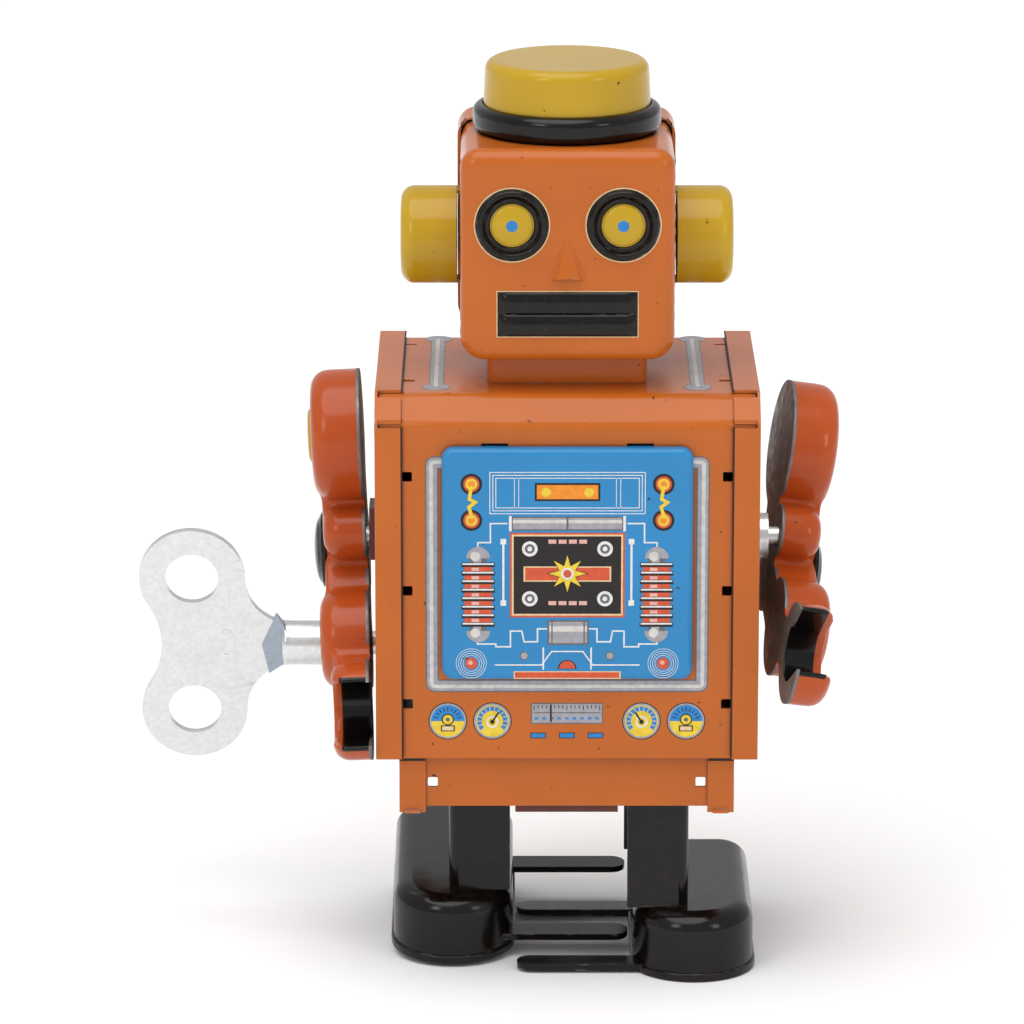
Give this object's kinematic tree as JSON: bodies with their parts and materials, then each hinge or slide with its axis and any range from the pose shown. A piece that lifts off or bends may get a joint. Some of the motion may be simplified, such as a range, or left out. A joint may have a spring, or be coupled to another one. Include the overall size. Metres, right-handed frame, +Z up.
{
  "type": "wind-up tin robot toy",
  "caption": "Wind-up tin robot with a square body, chest dial panel, round ears, claw hands, big black feet with anti-tip prongs and a two-lobed key on its side.",
  "frame": {"origin": "the point on the ground below the middle of the body, midway between its sides", "axes": "+Z up, -Y the way the robot faces, +X towards the robot's own left hand, which is on the viewer's right in a front view"},
  "size_m": [0.0875, 0.0487, 0.1121],
  "materials": {
    "enamel_orange": "glossy lithographed enamel on tinplate, worn at the edges",
    "enamel_red_orange": "glossy red-orange enamel on pressed tinplate",
    "enamel_blue": "lithographed blue enamel on tinplate",
    "enamel_yellow": "glossy yellow enamel on tinplate",
    "enamel_black": "glossy black enamel on tinplate",
    "enamel_brown": "dark reddish enamel on tinplate",
    "plated_steel": "tin-plated steel",
    "spring_steel": "blued steel",
    "brass": "stamped brass"
  },
  "bodies": {
    "body": {"body_wrap": "enamel_orange", "body_side_left": "enamel_orange", "body_side_right": "enamel_orange", "skirt_wrap": "enamel_orange", "skirt_side_left": "enamel_orange", "skirt_side_right": "enamel_orange", "base_strap": "enamel_brown", "base_screws": "brass", "chest_panel": "enamel_blue", "neck_tube": "enamel_orange", "head_front": "enamel_orange", "head_back": "enamel_orange", "cap_crown": "enamel_yellow", "cap_band": "enamel_black", "ear_left": "enamel_yellow", "ear_right": "enamel_yellow", "hip_axle": "plated_steel", "arm_bush_left": "enamel_brown", "arm_bush_right": "plated_steel", "motor_plate_left": "plated_steel", "motor_plate_right": "plated_steel", "motor_pillars": "plated_steel", "motor_foot": "plated_steel", "mainspring": "spring_steel"},
    "winding_shaft": {"winding_arbor": "plated_steel", "key": "plated_steel", "great_wheel": "brass", "ratchet_wheel": "brass", "click": "spring_steel"},
    "second_shaft": {"second_arbor": "spring_steel", "second_pinion": "brass", "second_wheel": "brass"},
    "crank_shaft": {"crank_axle": "spring_steel", "crank_pinion": "brass", "crank_left": "plated_steel", "crank_right": "plated_steel"},
    "escape_shaft": {"escape_arbor": "spring_steel", "escape_pinion": "brass", "escape_wheel": "brass"},
    "verge_rocker": {"verge": "plated_steel"},
    "right_leg": {"leg_right": "enamel_black", "foot_upper_right": "enamel_black", "foot_sole_right": "enamel_black", "foot_prongs_right": "enamel_black"},
    "left_leg": {"leg_left": "enamel_black", "foot_upper_left": "enamel_black", "foot_sole_left": "enamel_black", "foot_prongs_left": "enamel_black"},
    "right_arm": {"arm_shell_right": "enamel_red_orange", "arm_plate_right": "plated_steel", "arm_crank_right": "plated_steel"},
    "left_arm": {"arm_shell_left": "enamel_red_orange", "arm_plate_left": "plated_steel", "arm_crank_left": "plated_steel"}
  },
  "joints": [
    {"name": "key_turn", "type": "hinge", "parent": "body", "child": "winding_shaft", "pos_m": [0, 0.008, 0.036], "axis": [1, 0, 0], "continuous": true},
    {"name": "second_turn", "type": "hinge", "parent": "body", "child": "second_shaft", "pos_m": [0, -0.00083, 0.03976], "axis": [1, 0, 0], "continuous": true},
    {"name": "crank_turn", "type": "hinge", "parent": "body", "child": "crank_shaft", "pos_m": [0, 0, 0.031], "axis": [1, 0, 0], "continuous": true},
    {"name": "escape_turn", "type": "hinge", "parent": "body", "child": "escape_shaft", "pos_m": [0, -0.00933, 0.04204], "axis": [1, 0, 0], "continuous": true},
    {"name": "verge_rock", "type": "hinge", "parent": "body", "child": "verge_rocker", "pos_m": [0, -0.00933, 0.0473], "axis": [1, 0, 0], "range_deg": [-8, 8]},
    {"name": "right_leg_swing", "type": "hinge", "parent": "body", "child": "right_leg", "pos_m": [0, 0, 0.066], "axis": [1, 0, 0], "range_deg": [0, 5]},
    {"name": "left_leg_swing", "type": "hinge", "parent": "body", "child": "left_leg", "pos_m": [0, 0, 0.066], "axis": [1, 0, 0], "range_deg": [-5, 0]},
    {"name": "right_arm_swing", "type": "hinge", "parent": "body", "child": "right_arm", "pos_m": [0, 0, 0.052], "axis": [1, 0, 0], "range_deg": [0, 28]},
    {"name": "left_arm_swing", "type": "hinge", "parent": "body", "child": "left_arm", "pos_m": [0, 0, 0.052], "axis": [1, 0, 0], "range_deg": [-28, 0]}
  ],
  "couplings": [
    {"joint": "second_turn", "follows": "key_turn", "ratio": -5},
    {"joint": "crank_turn", "follows": "key_turn", "ratio": 22.5},
    {"joint": "escape_turn", "follows": "key_turn", "ratio": 22.5},
    {"joint": "left_leg_swing", "follows": "right_leg_swing", "ratio": -1},
    {"joint": "right_arm_swing", "follows": "right_leg_swing", "ratio": 5.6},
    {"joint": "left_arm_swing", "follows": "right_leg_swing", "ratio": -5.6}
  ]
}
